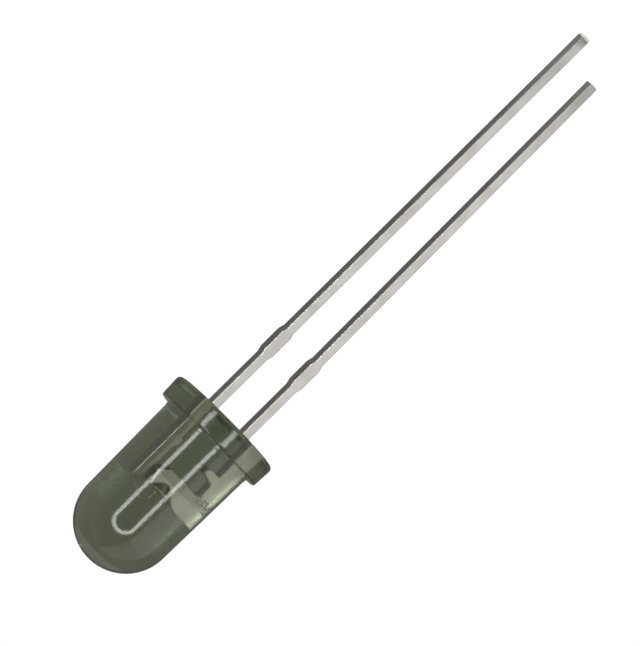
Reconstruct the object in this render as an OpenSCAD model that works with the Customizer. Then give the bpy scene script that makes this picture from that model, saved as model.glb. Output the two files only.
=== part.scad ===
// Round 5 mm through hole LED: a smoke tinted clear resin body, cast round a stamped lead frame.
// +Z runs along the optical axis towards the dome, and the origin is the centre of the flange's
// underside, which sits on the board. The short lead, with the reflector cup, is at -X and the
// long one at +X. Lengths are in millimetres and angles in degrees.

/* [Resin body] */
// Diameter of the body's wall where it leaves the flange
body_d = 5.0; // [4.8:0.05:5.4]
// Draft of the wall on each side, which lets the body leave its mould
body_draft = 0.93; // [0.3:0.01:1.5]
// Length of the straight wall, from the flange to the centre of the dome
wall_h = 5.23; // [4.8:0.01:6]
// Diameter of the flange at its underside
flange_back_d = 6.0; // [5.8:0.02:6.4]
// Diameter of the flange at its front
flange_front_d = 5.92; // [5.7:0.02:6.3]
// Thickness of the flange
flange_h = 1.17; // [0.8:0.01:1.5]
// Radius of the flange's rounded edge at its underside
back_round = 0.2; // [0.05:0.01:0.3]
// Radius of the flange's rounded edge at its front
front_round = 0.1; // [0.04:0.01:0.2]
// How far the flat that marks the short lead stands clear of the body's wall
flat_clear = 0.03; // [0.01:0.01:0.2]
// Height of the collar round the foot of the wall, above the flange's front
collar_h = 0.21; // [0.1:0.01:0.4]
// How far the collar stands out from the wall
collar_out = 0.02; // [0.01:0.005:0.04]

/* [Leads] */
// Distance between the two leads at the board
pitch = 2.54; // [2.3:0.01:2.7]
// Width of a lead, along the line through both leads
lead_w = 0.5; // [0.4:0.01:0.6]
// Thickness of the sheet that the lead frame is stamped from
lead_t = 0.4; // [0.3:0.01:0.5]
// Radius of a lead's four long edges
lead_edge = 0.04; // [0.02:0.01:0.1]
// Radius of a lead's cut end, seen on its broad face
tip_round = 0.09; // [0.03:0.01:0.15]
// Reach of the long lead below the flange
anode_len = 24.0; // [15:0.1:29]
// Reach of the short lead below the flange
cathode_len = 22.8; // [14:0.1:28]
// Angle by which the short lead leans towards the long one, from the tie bar's stub down
lean = 0.7; // [0:0.1:1.5]
// Depth below the flange of the middle of the sheared tie bar's stubs
stub_z = 4.1; // [3:0.05:4.5]
// Length of a stub along the lead
stub_len = 1.6; // [1:0.05:2]
// Length of the ramp at each end of a stub
stub_ramp = 0.25; // [0.1:0.01:0.4]
// How far a stub stands out on each side of its lead
stub_out = 0.075; // [0.03:0.005:0.15]

/* [Lead frame in the resin] */
// Height of the reflector cup's rim
rim_z = 4.47; // [4.3:0.01:5]
// Height of the short lead's head above the rim, at its outer end
shoulder_up = 0.12; // [0.05:0.01:0.4]
// Height of the long lead's post above the rim
post_up = 0.22; // [0.1:0.01:0.4]
// Width of the post
post_w = 0.56; // [0.5:0.01:0.6]
// How far the post stands out past the long lead's outer edge
post_out = 0.08; // [0.02:0.01:0.1]
// Width of the top of the post, where the wire lands
post_top_w = 0.32; // [0.22:0.01:0.4]
// Depth below the rim of the underside of the arm that carries the cup
arm_deep = 1.13; // [0.9:0.01:1.3]
// Reach of the arm past the optical axis
arm_reach = 0.72; // [0.66:0.01:0.8]
// Length along X and Z of the slanted corner under the arm's tip
arm_nose = 0.4; // [0.2:0.01:0.5]
// Width of the short lead's stem
stem_w = 0.46; // [0.4:0.01:0.5]
// Height of the open notch under the arm, at the stem
notch_h = 0.85; // [0.6:0.01:1]
// Radius of the notch's two inner corners
notch_round = 0.2; // [0.1:0.01:0.3]
// Height of the anchor lugs that lock both leads in the resin
lug_h = 0.47; // [0.4:0.01:0.6]
// Reach of the short lead's lug from its stem
cathode_lug = 0.44; // [0.35:0.01:0.6]
// Angle at which the top of that lug slopes down to its round tip
lug_slope = 14; // [5:1:20]
// Reach of the long lead's lug from the post
anode_lug = 0.12; // [0.11:0.01:0.3]
// Radius of that lug's corners
lug_round = 0.1; // [0.05:0.01:0.1]

/* [Reflector cup and chip] */
// Side of the square chip
chip_w = 0.3; // [0.22:0.01:0.34]
// Thickness of the chip
chip_h = 0.14; // [0.08:0.01:0.2]
// Gap between the chip's corners and the foot of the cup's wall
chip_gap = 0.03; // [0.01:0.005:0.06]
// Thickness of the silver filled glue under the chip
glue_h = 0.02; // [0.01:0.005:0.03]
// How far the glue spreads past the chip's corners
glue_spread = 0.015; // [0.005:0.005:0.02]
// Depth of the cup
cup_deep = 0.34; // [0.25:0.01:0.45]
// Angle between the cup's reflecting wall and the optical axis
cup_angle = 30; // [20:1:40]
// Thickness of the cup's wall at the rim
cup_wall = 0.14; // [0.08:0.01:0.16]
// Height of the bevel round the outside of the rim
rim_bevel = 0.05; // [0.02:0.01:0.06]
// Depth below the rim to which the cone that was pressed out round the cup runs
cone_deep = 0.6; // [0.5:0.01:0.8]
// Radius of that cone at its foot
cone_foot_r = 0.16; // [0.1:0.01:0.2]

/* [Bond wire] */
// Diameter of the gold wire
wire_d = 0.025; // [0.02:0.005:0.05]
// Radius of the wire's loop above the chip
loop_r = 0.28; // [0.2:0.01:0.4]
// Height of the wire's straight rise above its pressed ball
wire_rise = 0.6; // [0.5:0.01:0.8]
// Diameter of the ball that is pressed on the chip
ball_d = 0.09; // [0.06:0.01:0.12]
// Height of the pressed ball
ball_h = 0.03; // [0.02:0.005:0.04]
// Diameter of the pressed end of the wire on the post
stitch_d = 0.1; // [0.08:0.01:0.14]
// Thickness of that end
stitch_h = 0.015; // [0.01:0.005:0.02]

/* [Hidden] */
$fn = 96;

// resin body
dome_z = flange_h + wall_h;
dome_r = (body_d / 2 - wall_h * tan(body_draft)) * cos(body_draft);
collar_z = flange_h + collar_h;
flat_x = body_d / 2 + flat_clear;

// leads
lead_x = pitch / 2;
stem_in = lead_x - lead_w / 2;
stem_out = lead_x + lead_w / 2;
shank_top = back_round / 2;

// lead frame in the resin
arm_z = rim_z - arm_deep;
lug_top = arm_z - notch_h;
lug_foot = lug_top - lug_h;
shoulder_z = rim_z + shoulder_up;
stem_edge = stem_w - stem_out;
corner_cut = 0.05;
post_z = rim_z + post_up;
post_edge = stem_out + post_out;
post_in = post_edge - post_w;
post_neck_z = arm_z + 2 * corner_cut;

// cup and chip
floor_z = rim_z - cup_deep;
floor_r = chip_w / sqrt(2) + chip_gap;
rim_r = floor_r + cup_deep * tan(cup_angle);
cone_r = rim_r + cup_wall;
chip_z = floor_z + glue_h;
chip_top = chip_z + chip_h;

// bond wire
wire_z = chip_top + ball_h;
land_x = post_edge - post_top_w / 2;
land_z = post_z + stitch_h;
loop_z = wire_z + wire_rise;
fall_to = [land_x - loop_r, land_z - loop_z];
fall_len = sqrt(fall_to * fall_to - loop_r * loop_r);
wire_fall = atan2(loop_r, fall_len) - atan2(fall_to.y, fall_to.x);

// a rectangle from its lower left to its upper right corner, with round corners
module round_box(low, high, r) {
    size = high - low;
    translate(low + [r, 0]) square([size.x - 2 * r, size.y]);
    translate(low + [0, r]) square([size.x, size.y - 2 * r]);
    for (x = [low.x + r, high.x - r], y = [low.y + r, high.y - r])
        translate([x, y]) circle(r);
}

// an outline drawn across X and up Z, given the sheet's thickness
module stamp() {
    rotate([90, 0, 0]) linear_extrude(lead_t, center = true) children();
}

// half section of the flange: two round edges and the drafted side that touches both
module flange_half() {
    back = [flange_back_d / 2 - back_round, back_round];
    front = [flange_front_d / 2 - front_round, flange_h - front_round];
    along = (front - back) / norm(front - back);
    turn = asin((back_round - front_round) / norm(front - back));
    outward = [along.y, -along.x] * cos(turn) + along * sin(turn);
    tuck = 0.002;
    polygon([
        [0, 0], [back.x, 0], back + outward * (back_round - tuck),
        front + outward * (front_round - tuck), [front.x, flange_h], [0, flange_h]
    ]);
    translate(back) circle(back_round);
    translate(front) circle(front_round);
}

// half section of the drafted wall, which runs into the dome without a corner
module wall_half() {
    touch = [dome_r * cos(body_draft), dome_z + dome_r * sin(body_draft)];
    collar_r = body_d / 2 + collar_out;
    polygon([
        [0, flange_h / 2], [collar_r, flange_h / 2], [collar_r, collar_z - 2 * collar_out],
        [body_d / 2 - collar_h * tan(body_draft), collar_z], touch, [0, touch.y]
    ]);
    intersection() {
        translate([0, dome_z]) circle(dome_r);
        translate([0, dome_z]) square(2 * dome_r);
    }
}

module resin_shape() {
    difference() {
        rotate_extrude() {
            flange_half();
            wall_half();
        }
        // the flat on the flange, on the short lead's side
        translate([-flat_x - flange_back_d, -flange_back_d, -flange_h])
            cube([flange_back_d, 2 * flange_back_d, 2 * flange_h]);
    }
}

// section of a lead below the flange: the sheared edges are rounded by the tin on them
module shank_section() {
    round_box([-lead_w, -lead_t] / 2, [lead_w, lead_t] / 2, lead_edge);
}

// straight lead from z = 0 down to its cut end
module shank(len) {
    intersection() {
        translate([0, 0, -len]) linear_extrude(len) shank_section();
        rotate([90, 0, 0]) linear_extrude(2 * lead_t, center = true)
            round_box([-lead_w / 2, -len], [lead_w / 2, len], tip_round);
    }
}

// what is left of the tie bar that held the leads together until they were cut free
module tie_bar_stub() {
    half = stub_len / 2;
    flat_half = half - stub_ramp;
    wide = lead_w / 2 + stub_out;
    stamp() translate([0, -stub_z]) polygon([
        [-lead_w / 2, -half], [lead_w / 2, -half], [wide, -flat_half], [wide, flat_half],
        [lead_w / 2, half], [-lead_w / 2, half], [-wide, flat_half], [-wide, -flat_half]
    ]);
}

// the short lead's shank: its two straight lengths lap inside the stub, where it leans over
module cathode_shank() {
    lap = stub_len / 8;
    end_len = (cathode_len - stub_z) / cos(lean);
    translate([0, 0, -stub_z - lap])
        linear_extrude(stub_z + lap + shank_top) shank_section();
    translate([0, 0, -stub_z]) rotate([0, -lean, 0])
        translate([0, 0, lap]) shank(end_len + lap);
}

// a filled corner with the given centre and radius, hollow on the side that the centre lies on
module corner_fill(centre, outline) {
    difference() {
        polygon(concat([centre], outline));
        translate(centre) circle(notch_round);
    }
}

// head of the short lead: stem, anchor lug, notch, and the arm that carries the cup
module cathode_head() {
    // the lug's round tip touches its foot and its sloping top
    tip_r = (lug_h * cos(lug_slope) - cathode_lug * sin(lug_slope))
        / (1 + cos(lug_slope) - sin(lug_slope));
    uphill = [sin(lug_slope), cos(lug_slope)];
    tip = [stem_edge + cathode_lug - tip_r, lug_foot + tip_r];
    low = [
        stem_edge + notch_round,
        lug_top + notch_round * (1 / cos(lug_slope) - tan(lug_slope))
    ];
    high = [stem_edge + notch_round, arm_z - notch_round];
    stamp() {
        translate([-stem_out, shank_top]) square([stem_w, arm_z - shank_top]);
        translate(tip) circle(tip_r);
        polygon([
            [-stem_out, lug_foot], [tip.x, lug_foot], tip + uphill * tip_r,
            [stem_edge, lug_top], [-stem_out, lug_top]
        ]);
        corner_fill(low, [[stem_edge, low.y], [stem_edge, lug_top], low - uphill * notch_round]);
        corner_fill(high, [[high.x, arm_z], [stem_edge, arm_z], [stem_edge, high.y]]);
        polygon([
            [-stem_out, arm_z], [arm_reach - arm_nose, arm_z], [arm_reach, arm_z + arm_nose],
            [cone_r, rim_z], [-cone_r, rim_z],
            [-cone_r - shoulder_up, shoulder_z - shoulder_up / 4],
            [-cone_r - 2.5 * shoulder_up, shoulder_z],
            [corner_cut - stem_out, shoulder_z], [-stem_out, shoulder_z - corner_cut]
        ]);
    }
}

module lens() {
    color([0.52, 0.54, 0.47, 0.55]) difference() {
        resin_shape();
        cathode_lead();
        anode_lead();
        chip_glue();
        chip();
        bond_wire();
    }
}

module cathode_lead() {
    color([0.75, 0.75, 0.72]) difference() {
        union() {
            translate([-lead_x, 0, 0]) {
                cathode_shank();
                tie_bar_stub();
            }
            cathode_head();
            translate([0, 0, rim_z - cone_deep])
                cylinder(cone_deep - rim_bevel, cone_foot_r, cone_r);
            translate([0, 0, rim_z - rim_bevel])
                cylinder(rim_bevel, cone_r, cone_r - rim_bevel);
        }
        translate([0, 0, floor_z]) cylinder(cup_deep, floor_r, rim_r);
        translate([0, 0, rim_z]) cylinder(shoulder_up, rim_r, rim_r);
    }
}

module anode_lead() {
    color([0.75, 0.75, 0.72]) {
        translate([lead_x, 0, shank_top]) shank(anode_len + shank_top);
        translate([lead_x, 0, 0]) tie_bar_stub();
        stamp() {
            polygon([
                [stem_in, shank_top], [stem_out, shank_top], [post_edge, shank_top + post_out],
                [post_edge, post_z - corner_cut], [post_edge - corner_cut, post_z],
                [post_edge - post_top_w, post_z], [post_in, post_neck_z],
                [post_in, shank_top + post_out]
            ]);
            round_box([post_in - anode_lug, lug_foot], [lead_x, lug_top], lug_round);
        }
    }
}

module chip_glue() {
    color([0.6, 0.6, 0.6])
        translate([0, 0, floor_z]) cylinder(glue_h, r = chip_w / sqrt(2) + glue_spread);
}

module chip() {
    color([0.35, 0.36, 0.4])
        translate([-chip_w / 2, -chip_w / 2, chip_z]) cube([chip_w, chip_w, chip_h]);
}

// pressed ball, rise, loop, straight fall and pressed end; the fall starts inside the loop's end,
// and it is a little thinner, because the wire is stretched there
module bond_wire() {
    wire_r = wire_d / 2;
    color([0.85, 0.68, 0.3]) {
        translate([0, 0, chip_top]) cylinder(ball_h, d = ball_d);
        translate([0, 0, wire_z]) cylinder(wire_rise, r = wire_r);
        translate([loop_r, 0, loop_z]) {
            mirror([1, 0, 0]) rotate([90, 0, 0])
                rotate_extrude(angle = 90 + wire_fall) translate([loop_r, 0]) circle(wire_r);
            rotate([0, wire_fall, 0]) translate([-wire_r, 0, loop_r])
                rotate([0, 90, 0]) cylinder(fall_len + wire_r, r = 0.9 * wire_r);
        }
        translate([land_x, 0, post_z]) cylinder(stitch_h + wire_r, d = stitch_d);
    }
}

lens();
cathode_lead();
anode_lead();
chip_glue();
chip();
bond_wire();
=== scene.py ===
import math

import bmesh
import bpy
from mathutils import Matrix, Vector


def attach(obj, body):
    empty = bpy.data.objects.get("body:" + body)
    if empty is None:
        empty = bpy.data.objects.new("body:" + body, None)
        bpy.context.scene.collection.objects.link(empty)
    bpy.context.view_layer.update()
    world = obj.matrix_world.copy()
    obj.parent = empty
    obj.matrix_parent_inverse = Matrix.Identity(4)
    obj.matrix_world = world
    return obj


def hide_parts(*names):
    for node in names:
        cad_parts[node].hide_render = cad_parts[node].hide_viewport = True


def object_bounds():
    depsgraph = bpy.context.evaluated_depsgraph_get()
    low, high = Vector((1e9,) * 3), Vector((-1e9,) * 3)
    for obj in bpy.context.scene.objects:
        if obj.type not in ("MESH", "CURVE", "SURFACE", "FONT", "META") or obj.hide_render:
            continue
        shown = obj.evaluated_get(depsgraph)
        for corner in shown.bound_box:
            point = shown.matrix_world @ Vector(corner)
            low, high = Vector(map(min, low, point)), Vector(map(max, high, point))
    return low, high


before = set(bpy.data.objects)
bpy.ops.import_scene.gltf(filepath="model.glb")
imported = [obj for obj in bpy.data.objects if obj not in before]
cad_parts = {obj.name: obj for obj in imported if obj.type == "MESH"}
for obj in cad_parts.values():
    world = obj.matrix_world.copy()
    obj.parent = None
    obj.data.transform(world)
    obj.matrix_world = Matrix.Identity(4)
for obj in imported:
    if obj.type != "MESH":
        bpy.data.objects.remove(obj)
cad_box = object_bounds()


# Resin body: epoxy with a smoke tint, cast in a polished mould round the lead frame. The drafted
# wall runs into the dome, a thin collar rings its foot, and a flat on the flange marks the short
# lead. A few air bubbles stayed on the face of the short lead's head.
body_r = 0.00250
body_draft = math.radians(0.93)
wall_h = 0.00523
flange_h = 0.00117
flange_back_r = 0.00300
flange_front_r = 0.00296
back_round = 0.00020
front_round = 0.00010
foot_round = 0.00003
flat_x = 0.00253
collar_h = 0.00021
collar_out = 0.00002
bezel_seat_r = 0.0027


def arc(centre, radius, start, end, steps):
    points = []
    for i in range(steps + 1):
        turn = start + (end - start) * i / steps
        points.append((centre[0] + radius * math.cos(turn), centre[1] + radius * math.sin(turn)))
    return points


def body_outline():
    # from the centre of the underside outwards and up to just short of the dome's tip
    quarter = math.pi / 2
    slope = math.tan(body_draft)
    dome_z = flange_h + wall_h
    dome_r = (body_r - wall_h * slope) * math.cos(body_draft)
    back = (flange_back_r - back_round, back_round)
    front = (flange_front_r - front_round, flange_h - front_round)
    side_lean = (math.atan((back[0] - front[0]) / (front[1] - back[1]))
                 + math.asin((back_round - front_round) / math.dist(back, front)))
    underside_step = 0.0002
    line = [(underside_step * i, 0.0) for i in range(1, 14)]
    line += arc(back, back_round, -quarter, side_lean, 14)
    line += arc(front, front_round, side_lean, quarter, 8)
    line += [(bezel_seat_r, flange_h)]

    # the rings close to the collar's edge keep its smooth shading from running up the wall
    collar_r = body_r + collar_out
    collar_top = flange_h + collar_h
    above = 0.00001
    wall_rings = 14
    line += arc((collar_r + foot_round, flange_h + foot_round), foot_round, -quarter, -math.pi, 4)
    line += [(collar_r, collar_top - 4 * collar_out),
             (collar_r, collar_top - 2.5 * collar_out),
             (collar_r - 0.2 * collar_out, collar_top - 1.9 * collar_out),
             (body_r - collar_h * slope + 0.2 * collar_out, collar_top - 0.3 * collar_out),
             (body_r - (collar_h + above) * slope, collar_top + above)]
    for i in range(1, wall_rings):
        height = collar_h + (wall_h - collar_h) * i / wall_rings
        line.append((body_r - height * slope, flange_h + height))
    short_of_tip = 0.985
    line += arc((0.0, dome_z), dome_r, body_draft, quarter * short_of_tip, 40)
    return line, dome_z + dome_r


def body_ring(shape, radius, height, spokes, flat_spokes):
    # the flat takes the same share of the points on every ring, so that its ends line up
    half_flat = math.acos(min(1.0, flat_x / flange_back_r))
    chord_half = math.acos(flat_x / radius) if radius > flat_x else 0.0
    corners = []
    for i in range(flat_spokes):
        share = -1 + 2 * i / flat_spokes
        if chord_half > 0:
            spot = (-flat_x, -radius * math.sin(chord_half) * share)
        else:
            turn = math.pi + half_flat * share
            spot = (radius * math.cos(turn), radius * math.sin(turn))
        corners.append(shape.verts.new((spot[0], spot[1], height)))
    start = chord_half if chord_half > 0 else half_flat
    for i in range(spokes - flat_spokes):
        turn = math.pi + start + (2 * math.pi - 2 * start) * i / (spokes - flat_spokes)
        corners.append(shape.verts.new(
            (radius * math.cos(turn), radius * math.sin(turn), height)))
    return corners


line, tip_z = body_outline()
shape = bmesh.new()
spokes = 216
flat_spokes = 36
rings = [body_ring(shape, radius, height, spokes, flat_spokes) for radius, height in line]
for low, high in zip(rings, rings[1:]):
    for i in range(spokes):
        j = (i + 1) % spokes
        shape.faces.new((low[i], low[j], high[j], high[i]))
for end, height in ((rings[0], 0.0), (rings[-1], tip_z)):
    hub = shape.verts.new((0.0, 0.0, height))
    for i in range(spokes):
        shape.faces.new((end[i], end[(i + 1) % spokes], hub))
bmesh.ops.recalc_face_normals(shape, faces=shape.faces)
sharp_from = math.radians(35)
for face in shape.faces:
    face.smooth = True
for edge in shape.edges:
    edge.smooth = edge.calc_face_angle(0.0) < sharp_from

# the bubbles lie in rows, from which each strays a little by a fixed rule
bubble_corner = Vector((-0.00149, -0.00021, 0.00319))
bubble_columns = 4
column_step = 0.00013
row_step = 0.00012
bubble_stray = 0.00005
smallest_bubble_r = 0.000034
bubble_growth = 0.000022
for i in range(18):
    bubble_r = smallest_bubble_r + bubble_growth * (i * 0.37 % 1)
    middle = bubble_corner + Vector((
        column_step * (i % bubble_columns) + bubble_stray * (i * 0.618 % 1),
        -bubble_r,
        row_step * (i // bubble_columns) + bubble_stray * (i * 0.271 % 1)))
    ball = bmesh.ops.create_icosphere(
        shape, subdivisions=2, radius=bubble_r, matrix=Matrix.Translation(middle))
    bubble_faces = {face for corner in ball["verts"] for face in corner.link_faces}
    bmesh.ops.reverse_faces(shape, faces=list(bubble_faces))
    for face in bubble_faces:
        face.smooth = True
body_mesh = bpy.data.meshes.new("resin_body")
shape.to_mesh(body_mesh)
shape.free()
body = bpy.data.objects.new("resin_body", body_mesh)
bpy.context.scene.collection.objects.link(body)


def new_finish(name):
    finish = bpy.data.materials.new(name)
    finish.use_nodes = True
    return finish, finish.node_tree, finish.node_tree.nodes["Principled BSDF"]


def step(tree, kind, values, sources):
    # one shader node, with its values set and the sockets that feed it linked
    node = tree.nodes.new("ShaderNode" + kind)
    for socket, value in values.items():
        node.inputs[socket].default_value = value
    for socket, source in sources.items():
        tree.links.new(source, node.inputs[socket])
    return node


def noise(tree, scale, detail, place):
    marks = step(tree, "TexNoise", {"Scale": scale, "Detail": detail}, {"Vector": place})
    return marks.outputs["Fac"]


def between(tree, source, low, high, start=0.0, end=1.0):
    # low where the source is start, high where it is end
    run = step(tree, "MapRange", {"From Min": start, "From Max": end, "To Min": low, "To Max": high},
               {"Value": source})
    return run.outputs["Result"]


def combined(tree, operation, first, second):
    both = step(tree, "Math", {}, {0: first, 1: second})
    both.operation = operation
    return both.outputs["Value"]


def relief(tree, source, strength, depth, under=None):
    bump = step(tree, "Bump", {"Strength": strength, "Distance": depth}, {"Height": source})
    if under:
        tree.links.new(under, bump.inputs["Normal"])
    return bump.outputs["Normal"]


resin, tree, skin = new_finish("smoke_tinted_epoxy")
skin.inputs["Base Color"].default_value = (1.0, 1.0, 1.0, 1.0)
skin.inputs["IOR"].default_value = 1.54
skin.inputs["Transmission Weight"].default_value = 1.0
place = tree.nodes.new("ShaderNodeTexCoord").outputs["Object"]
mould_marks = noise(tree, 900.0, 3.0, place)
polish = between(tree, mould_marks, 0.09, 0.12)
height = step(tree, "SeparateXYZ", {}, {"Vector": place}).outputs["Z"]
flange_dullness = between(tree, height, 0.04, 0.0, flange_h - 0.00005, flange_h + 0.00005)
tree.links.new(combined(tree, "ADD", polish, flange_dullness), skin.inputs["Roughness"])
tree.links.new(relief(tree, mould_marks, 0.02, 0.00001), skin.inputs["Normal"])
tint = step(tree, "VolumeAbsorption", {"Color": (0.393, 0.472, 0.276, 1.0), "Density": 300.0}, {})
tree.links.new(tint.outputs["Volume"], tree.nodes["Material Output"].inputs["Volume"])
body_mesh.materials.append(resin)
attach(body, "root")
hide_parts("lens")


# Leads: both are stamped from one strip of steel 0.4 mm thick and plated with tin, which leaves a
# semi bright skin with fine lines along the lead and a slight swell. A painted highlight lifts the
# colour along the edges, and a band of painted shade darkens it across the head.
band_low = 0.0032
band_high = 0.0039
band_depth = 0.25
cup_side_start = -0.0013
cup_side_end = -0.0010
short_lead_reach = 0.0007
edge_round_and_highlight_width = 0.00008
highlight_start = 0.995
highlight_full = 0.9


def shades(tree, source, stops):
    ramp = step(tree, "ValToRGB", {}, {"Fac": source})
    first, last = ramp.color_ramp.elements
    for element, (position, colour) in ((first, stops[0]), (last, stops[-1])):
        element.position = position
        element.color = (*colour, 1.0)
    for position, colour in stops[1:-1]:
        ramp.color_ramp.elements.new(position).color = (*colour, 1.0)
    return ramp.outputs["Color"]


def blended(tree, share, plain, other):
    mix = tree.nodes.new("ShaderNodeMix")
    mix.data_type = "RGBA"
    mix.inputs["B"].default_value = (*other, 1.0)
    tree.links.new(share, mix.inputs["Factor"])
    tree.links.new(plain, mix.inputs["A"])
    return mix.outputs["Result"]


def dress(piece, finish):
    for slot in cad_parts[piece].material_slots:
        slot.material = finish


tin, tree, skin = new_finish("tinned_steel")
skin.inputs["Metallic"].default_value = 1.0
place = tree.nodes.new("ShaderNodeTexCoord").outputs["Object"]
along = step(tree, "Mapping", {"Scale": (9000.0, 9000.0, 500.0)}, {"Vector": place})
drawn_lines = noise(tree, 1.0, 4.0, along.outputs["Vector"])
cloud = noise(tree, 1100.0, 2.0, place)
plating = shades(tree, cloud, ((0.25, (0.565, 0.548, 0.528)), (0.75, (0.695, 0.677, 0.655))))

spot = step(tree, "SeparateXYZ", {}, {"Vector": place})
black, white = (0.0, 0.0, 0.0), (1.0, 1.0, 1.0)
# painted shade: a darker band across the short lead's head, full on the cup's side and fading out at
# the head's outer edge
painted_shade_band = shades(
    tree, between(tree, spot.outputs["Z"], 0.0, 1.0, band_low, band_high),
    ((0.08, black), (0.2, white), (0.82, white), (0.87, black)))
cup_side = between(tree, spot.outputs["X"], 0.0, band_depth, cup_side_start, cup_side_end)
short_lead = step(tree, "Math", {1: short_lead_reach}, {0: spot.outputs["X"]})
short_lead.operation = "LESS_THAN"
in_painted_shade = combined(tree, "MULTIPLY", painted_shade_band, cup_side)
in_painted_shade = combined(tree, "MULTIPLY", in_painted_shade, short_lead.outputs["Value"])
plating_with_painted_shade = blended(tree, in_painted_shade, plating, black)

# painted highlight: near the edges, where the rounded normal turns away from the face's own, the
# colour is lifted to near white
soft_edge = step(tree, "Bevel", {"Radius": edge_round_and_highlight_width}, {}).outputs["Normal"]
face_normal = tree.nodes.new("ShaderNodeNewGeometry").outputs["True Normal"]
off_edge = step(tree, "VectorMath", {}, {0: soft_edge, 1: face_normal})
off_edge.operation = "DOT_PRODUCT"
painted_edge_highlight = between(tree, off_edge.outputs["Value"], 0.0, 1.0, highlight_start, highlight_full)
tree.links.new(blended(tree, painted_edge_highlight, plating_with_painted_shade, (0.97, 0.955, 0.92)), skin.inputs["Base Color"])
tree.links.new(between(tree, drawn_lines, 0.24, 0.34), skin.inputs["Roughness"])
swell = relief(tree, cloud, 0.12, 0.00001, soft_edge)
tree.links.new(relief(tree, drawn_lines, 0.12, 0.000004, swell), skin.inputs["Normal"])
dress("cathode_lead", tin)
dress("anode_lead", tin)


# Chip: a diced square of semiconductor, dark and polished, with faint marks of the saw.
chip_skin, tree, skin = new_finish("polished_chip")
place = tree.nodes.new("ShaderNodeTexCoord").outputs["Object"]
saw_marks = noise(tree, 30000.0, 3.0, place)
layers = shades(tree, saw_marks, ((0.3, (0.12, 0.13, 0.16)), (0.7, (0.22, 0.23, 0.26))))
tree.links.new(layers, skin.inputs["Base Color"])
tree.links.new(between(tree, saw_marks, 0.1, 0.35), skin.inputs["Roughness"])
tree.links.new(relief(tree, saw_marks, 0.2, 0.000003), skin.inputs["Normal"])
dress("chip", chip_skin)


# Glue: epoxy filled with silver flakes, so that it carries the chip's current to the short lead.
# A drop of it is spread under the chip on the floor of the cup and cured matt.
glue, tree, skin = new_finish("silver_filled_glue")
skin.inputs["Metallic"].default_value = 0.8
place = tree.nodes.new("ShaderNodeTexCoord").outputs["Object"]
flakes = step(tree, "TexVoronoi", {"Scale": 60000.0}, {"Vector": place}).outputs["Distance"]
silver = shades(tree, flakes, ((0.0, (0.68, 0.68, 0.66)), (0.8, (0.46, 0.46, 0.44))))
tree.links.new(silver, skin.inputs["Base Color"])
tree.links.new(between(tree, flakes, 0.4, 0.65), skin.inputs["Roughness"])
tree.links.new(relief(tree, flakes, 0.4, 0.000006), skin.inputs["Normal"])
dress("chip_glue", glue)


# Bond wire: drawn gold 0.025 mm thick, pressed on the chip as a ball and on the post as a flat
# end. Drawing leaves faint lines and a slight change of shade along it.
gold, tree, skin = new_finish("drawn_gold")
skin.inputs["Metallic"].default_value = 1.0
place = tree.nodes.new("ShaderNodeTexCoord").outputs["Object"]
die_marks = noise(tree, 40000.0, 3.0, place)
yellow = shades(tree, die_marks, ((0.3, (0.78, 0.66, 0.40)), (0.7, (0.90, 0.78, 0.50))))
tree.links.new(yellow, skin.inputs["Base Color"])
tree.links.new(between(tree, die_marks, 0.18, 0.34), skin.inputs["Roughness"])
tree.links.new(relief(tree, die_marks, 0.2, 0.000001), skin.inputs["Normal"])
dress("bond_wire", gold)


# Floor: a pale sheet under the long lead's end. It is lifted to plain white in the picture and
# keeps the shade that the LED throws on it.
floor_z = cad_box[0][2] - 0.00001
floor_half = 6.0
floor_lift = 0.66


def in_the_picture(tree):
    # 1 for what the camera sees, straight or by way of the metal and the resin
    ray = tree.nodes.new("ShaderNodeLightPath")
    straight_or_metal = combined(
        tree, "MAXIMUM", ray.outputs["Is Camera Ray"], ray.outputs["Is Glossy Ray"])
    return combined(tree, "MAXIMUM", straight_or_metal, ray.outputs["Is Transmission Ray"])


floor_mesh = bpy.data.meshes.new("floor")
floor_mesh.from_pydata(
    [(-floor_half, -floor_half, floor_z), (floor_half, -floor_half, floor_z),
     (floor_half, floor_half, floor_z), (-floor_half, floor_half, floor_z)],
    [], [(0, 1, 2, 3)])
floor = bpy.data.objects.new("floor", floor_mesh)
bpy.context.scene.collection.objects.link(floor)
pale, tree, sheet = new_finish("pale_floor")
sheet.inputs["Base Color"].default_value = (0.9, 0.9, 0.9, 1.0)
sheet.inputs["Roughness"].default_value = 0.9
sheet.inputs["Specular IOR Level"].default_value = 0.0
sheet.inputs["Emission Color"].default_value = (1.0, 1.0, 1.0, 1.0)
lift = step(tree, "Math", {1: floor_lift}, {0: in_the_picture(tree)})
lift.operation = "MULTIPLY"
tree.links.new(lift.outputs["Value"], sheet.inputs["Emission Strength"])
floor_mesh.materials.append(pale)


# Room: white wherever the camera, the metal or the resin looks. For matt things it is a soft light
# from all round, at a level at which a colour comes out about as it is written.
soft_level = 0.4
world = bpy.data.worlds.new("white_room")
bpy.context.scene.world = world
world.use_nodes = True
tree = world.node_tree
room = tree.nodes["Background"]
room.inputs["Color"].default_value = (1.0, 1.0, 1.0, 1.0)
level = step(tree, "Math", {1: soft_level}, {0: in_the_picture(tree)})
level.operation = "MAXIMUM"
tree.links.new(level.outputs["Value"], room.inputs["Strength"])


# The view: a long lens that looks down on the dome's side of the LED, with the long lead nearest
# and the picture turned, so that the leads run up to the right.
view_side = math.radians(38.9)
view_up = math.radians(4.5)
view_gap = 0.5
picture_size = (640, 646)
dots_per_mm = 22.0
metres_per_dot = 0.001 / dots_per_mm
axis_tilt = math.radians(44.65)
seat_dot = (226.0, 421.9)
sensor_width = 36.0

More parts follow.
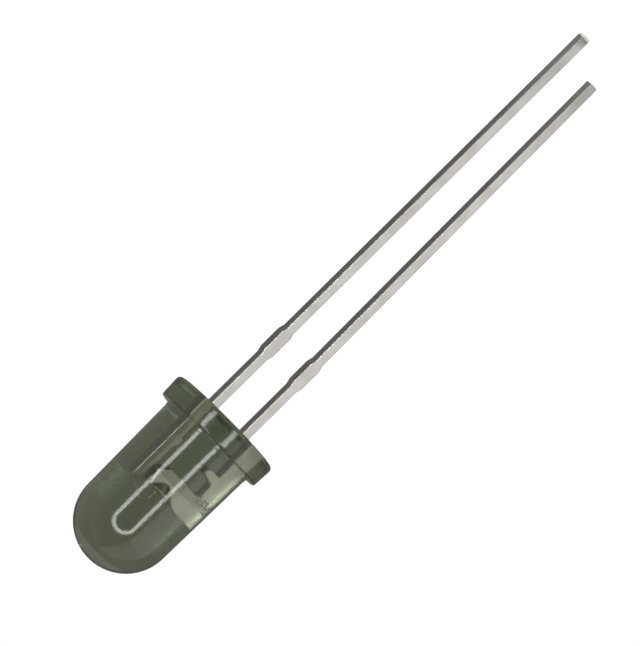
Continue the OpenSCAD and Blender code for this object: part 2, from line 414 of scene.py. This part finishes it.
toward_camera = Vector((
    math.sin(view_side) * math.cos(view_up),
    -math.cos(view_side) * math.cos(view_up),
    math.sin(view_up)))
level_right = Vector((math.cos(view_side), math.sin(view_side), 0.0))
steep_up = toward_camera.cross(level_right)
right = -math.cos(axis_tilt) * steep_up - math.sin(axis_tilt) * level_right
up = toward_camera.cross(right)
aim = (right * (picture_size[0] / 2 - seat_dot[0])
       - up * (picture_size[1] / 2 - seat_dot[1])) * metres_per_dot

lens_data = bpy.data.cameras.new("camera")
lens_data.sensor_fit = "HORIZONTAL"
lens_data.sensor_width = sensor_width
lens_data.lens = sensor_width * view_gap / (picture_size[0] * metres_per_dot)
lens_data.clip_start = 0.01
lens_data.clip_end = 10.0
camera = bpy.data.objects.new("camera", lens_data)
bpy.context.scene.collection.objects.link(camera)
camera.matrix_world = Matrix.Translation(aim + toward_camera * view_gap) @ Matrix((
    (right.x, up.x, toward_camera.x, 0.0),
    (right.y, up.y, toward_camera.y, 0.0),
    (right.z, up.z, toward_camera.z, 0.0),
    (0.0, 0.0, 0.0, 1.0)))
bpy.context.scene.camera = camera
bpy.context.scene.view_settings.view_transform = "Standard"


# Ring light: a lit ring round the camera's line of sight, aimed at the middle of the body. Its
# mirror image in the polished resin is the bright loop on the dome and the wall.
ring_gap = 0.2
ring_inner = math.radians(22)
ring_outer = math.radians(30)
ring_level = 7.8
ring_steps = 96
ring_tip = Matrix.Rotation(math.radians(0.7), 4, level_right)
body_middle = Vector((0.0, 0.0, 0.0045))


def lit_card(name, corners, faces, colour, strength):
    card_mesh = bpy.data.meshes.new(name)
    card_mesh.from_pydata(corners, [], faces)
    glow = bpy.data.materials.new(name)
    glow.use_nodes = True
    tree = glow.node_tree
    tree.nodes.remove(tree.nodes["Principled BSDF"])
    lamp = step(tree, "Emission", {"Color": (*colour, 1.0), "Strength": strength}, {})
    tree.links.new(lamp.outputs["Emission"], tree.nodes["Material Output"].inputs["Surface"])
    card_mesh.materials.append(glow)
    card = bpy.data.objects.new(name, card_mesh)
    bpy.context.scene.collection.objects.link(card)
    card.visible_camera = False
    return card


ring_corners, ring_faces = [], []
for i in range(ring_steps):
    turn = 2 * math.pi * i / ring_steps
    out = level_right * math.cos(turn) + steep_up * math.sin(turn)
    for spread in (ring_inner, ring_outer):
        ring_corners.append(body_middle + ring_tip @ (
            toward_camera * ring_gap + out * ring_gap * math.tan(spread)))
    a, b = 2 * i, 2 * ((i + 1) % ring_steps)
    ring_faces.append((a, a + 1, b + 1, b))
lit_card("ring_light", ring_corners, ring_faces, (0.955, 1.0, 0.935), ring_level)


# Cards round the LED, out of the picture: they give the leads and the resin something to show. A
# grey tent stands behind it and to its sides, and two white cards on its left. In front a dark
# tent rises past a lighter mat on the floor.
def only_mirrored(card):
    card.visible_diffuse = False
    card.visible_shadow = False


def tent(name, gap, low, high, colour, stops):
    # a bent sheet from low to high above the level; each stop is an angle round the LED from the
    # front of the leads' broad faces, and the sheet's brightness there
    corners, faces, levels = [], [], []
    steps, rows = 72, 14
    for i in range(steps + 1):
        side = stops[0][0] + (stops[-1][0] - stops[0][0]) * i / steps
        for (start, start_level), (end, end_level) in zip(stops, stops[1:]):
            if start <= side <= end:
                level = start_level + (end_level - start_level) * (side - start) / (end - start)
        turn = math.radians(side)
        for j in range(rows + 1):
            rise = math.radians(low + (high - low) * j / rows)
            corners.append((
                gap * math.sin(turn) * math.cos(rise),
                -gap * math.cos(turn) * math.cos(rise),
                max(gap * math.sin(rise), floor_z + 0.0001)))
            levels.append(level)
    for i in range(steps):
        for j in range(rows):
            a = i * (rows + 1) + j
            b = a + rows + 1
            faces.append((a, b, b + 1, a + 1))
    card = lit_card(name, corners, faces, colour, 1.0)
    only_mirrored(card)
    shade = card.data.color_attributes.new("shade", "FLOAT_COLOR", "POINT")
    for spot, level in zip(shade.data, levels):
        spot.color = (colour[0] * level, colour[1] * level, colour[2] * level, 1.0)
    tree = card.data.materials[0].node_tree
    painted = tree.nodes.new("ShaderNodeVertexColor")
    painted.layer_name = "shade"
    tree.links.new(painted.outputs["Color"], tree.nodes["Emission"].inputs["Color"])


tent("grey_tent", 0.08, -88, 90, (0.98, 1.0, 0.9), (
    (71, 0.1), (92, 0.13), (104, 0.3), (120, 0.3), (132, 0.12), (150, 0.15), (176, 0.18),
    (198, 0.2), (243, 0.19), (264, 0.21), (276, 0.21), (300, 0.2)))
tent("front_tent", 0.3, -4, 90, (1.0, 1.0, 0.96), ((-2, 0.07), (71, 0.07)))
tent("front_mat", 0.3, -89.5, -4.1, (1.0, 1.0, 0.92), ((-2, 0.7), (25, 0.7), (50, 0.2), (71, 0.2)))
tent("white_card", 0.06, -60, 30, (1.0, 1.0, 0.97), ((-60, 0.91), (-2, 0.91)))
tent("upper_card", 0.06, 30, 90, (1.0, 1.0, 0.97), ((-60, 0.6), (-2, 0.6)))

# the grey mat under the LED is cut back where the broad faces of the leads' ends show the floor
mat_sectors = 24
whole_sectors = 21
mat_z = floor_z + 0.00015
mat_corners = []
for i in range(mat_sectors):
    turn = 2 * math.pi * i / mat_sectors
    inner_r, outer_r = (0.0001, 0.031) if i < whole_sectors else (0.009, 0.020)
    for mat_r in (inner_r, outer_r):
        mat_corners.append((mat_r * math.sin(turn), -mat_r * math.cos(turn), mat_z))
mat_faces = []
for i in range(mat_sectors):
    a, b = 2 * i, 2 * ((i + 1) % mat_sectors)
    mat_faces.append((a, a + 1, b + 1, b))
only_mirrored(lit_card("grey_mat", mat_corners, mat_faces, (0.98, 1.0, 0.92), 0.27))
